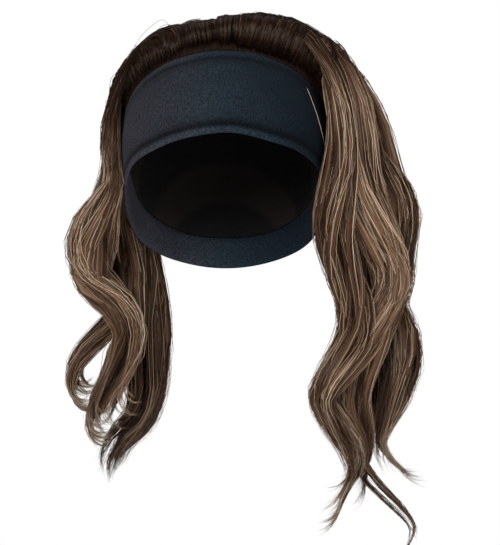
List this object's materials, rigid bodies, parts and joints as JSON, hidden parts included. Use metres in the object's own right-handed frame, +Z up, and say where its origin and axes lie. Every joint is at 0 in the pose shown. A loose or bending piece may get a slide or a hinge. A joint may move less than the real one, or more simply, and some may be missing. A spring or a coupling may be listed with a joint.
{
  "type": "half wig",
  "caption": "Half wig of long wavy dark brown hair with light strands, sewn to a cap behind a wide charcoal stretch headband.",
  "frame": {"origin": "inside of the cap, where the crown of the head touches it", "axes": "+Z up along the standing head, the wearer faces -Y, +X is on the right as seen from the front"},
  "size_m": [0.289, 0.2226, 0.4143],
  "materials": {
    "band_cloth": "matt fine stretch knit, charcoal",
    "cap_net": "matt black wefted cap",
    "hair": "silky fibre, near-black roots, brown lengths with light strands"
  },
  "bodies": {
    "root": {"headband": "band_cloth", "cap": "cap_net", "crown_hair": "hair", "right_front_lock": "hair", "right_middle_lock": "hair", "right_outer_lock": "hair", "right_back_lock": "hair", "left_front_lock": "hair", "left_outer_lock": "hair", "left_inner_lock": "hair", "left_back_lock": "hair"}
  },
  "joints": []
}
